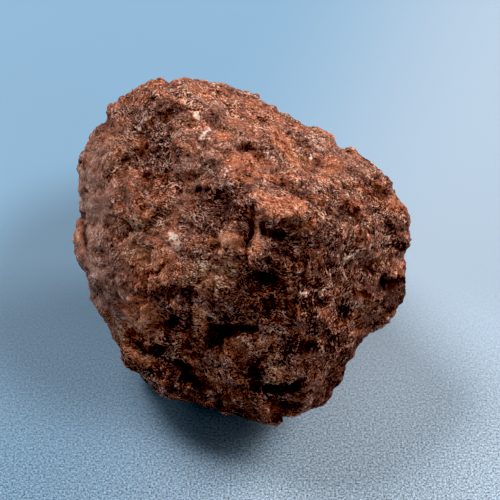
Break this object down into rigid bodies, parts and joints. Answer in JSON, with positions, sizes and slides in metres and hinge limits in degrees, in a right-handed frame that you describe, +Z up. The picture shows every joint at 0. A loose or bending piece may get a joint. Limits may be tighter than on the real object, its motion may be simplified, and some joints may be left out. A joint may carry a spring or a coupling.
{
  "type": "chondrite meteorite",
  "caption": "Weathered chondrite meteorite, a blocky, roughly six-sided broken stone with a rough, pitted rusty brown surface and a flat underside to rest on.",
  "frame": {"origin": "middle of the stone's bounding box at its flat underside", "axes": "+Z up from the underside it rests on, +Y along the stone's longest side, +X along its width"},
  "size_m": [0.017, 0.02, 0.015],
  "materials": {
    "stone": "rough, grainy, rusty brown weathered stone with dark pores and a few pale grains"
  },
  "bodies": {
    "root": {"stone": "stone"}
  },
  "joints": []
}
